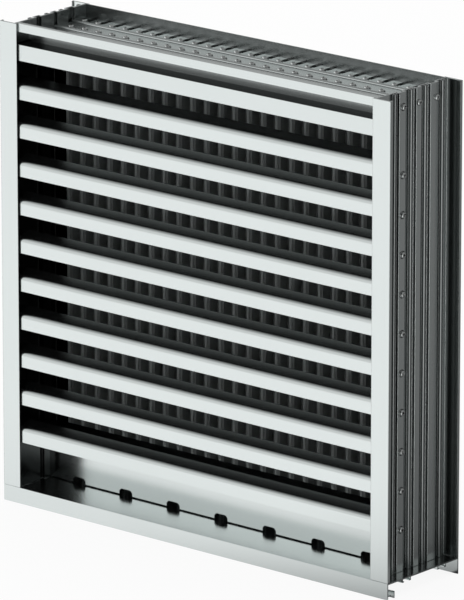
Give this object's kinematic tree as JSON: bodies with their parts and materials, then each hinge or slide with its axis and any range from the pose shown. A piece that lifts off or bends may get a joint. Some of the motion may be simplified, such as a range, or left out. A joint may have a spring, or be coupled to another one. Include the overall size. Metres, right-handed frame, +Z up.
{
  "type": "wind-driven rain louver",
  "caption": "Mill-finish aluminium rain louver: horizontal drainable front blades before a bank of vertical rear blades, in a flanged frame with a sill trough.",
  "frame": {"origin": "bottom centre of the whole louver", "axes": "+Z up, the front with the horizontal blades faces -Y, +X to the right of someone who looks at the front"},
  "size_m": [0.947, 0.208, 0.944],
  "materials": {
    "jamb_aluminium": "mill",
    "head_aluminium": "mill",
    "sill_aluminium": "mill",
    "drain_wall_aluminium": "mill",
    "front_blade_aluminium": "mill",
    "rear_blade_aluminium": "mill",
    "screw_steel": "plain"
  },
  "bodies": {
    "root": {"jamb_left": "jamb_aluminium", "jamb_right": "jamb_aluminium", "front_head": "head_aluminium", "rear_head": "head_aluminium", "front_sill": "sill_aluminium", "rear_sill": "sill_aluminium", "drain_wall": "drain_wall_aluminium", "front_blade_01": "front_blade_aluminium", "front_blade_02": "front_blade_aluminium", "front_blade_03": "front_blade_aluminium", "front_blade_04": "front_blade_aluminium", "front_blade_05": "front_blade_aluminium", "front_blade_06": "front_blade_aluminium", "front_blade_07": "front_blade_aluminium", "front_blade_08": "front_blade_aluminium", "front_blade_09": "front_blade_aluminium", "front_blade_10": "front_blade_aluminium", "rear_blade_01": "rear_blade_aluminium", "rear_blade_02": "rear_blade_aluminium", "rear_blade_03": "rear_blade_aluminium", "rear_blade_04": "rear_blade_aluminium", "rear_blade_05": "rear_blade_aluminium", "rear_blade_06": "rear_blade_aluminium", "rear_blade_07": "rear_blade_aluminium", "rear_blade_08": "rear_blade_aluminium", "rear_blade_09": "rear_blade_aluminium", "rear_blade_10": "rear_blade_aluminium", "rear_blade_11": "rear_blade_aluminium", "rear_blade_12": "rear_blade_aluminium", "rear_blade_13": "rear_blade_aluminium", "rear_blade_14": "rear_blade_aluminium", "rear_blade_15": "rear_blade_aluminium", "rear_blade_16": "rear_blade_aluminium", "rear_blade_17": "rear_blade_aluminium", "rear_blade_18": "rear_blade_aluminium", "rear_blade_19": "rear_blade_aluminium", "rear_blade_20": "rear_blade_aluminium", "rear_blade_21": "rear_blade_aluminium", "rear_blade_22": "rear_blade_aluminium", "rear_blade_23": "rear_blade_aluminium", "rear_blade_24": "rear_blade_aluminium", "rear_blade_25": "rear_blade_aluminium", "side_screws_left": "screw_steel", "side_screws_right": "screw_steel"}
  },
  "joints": []
}
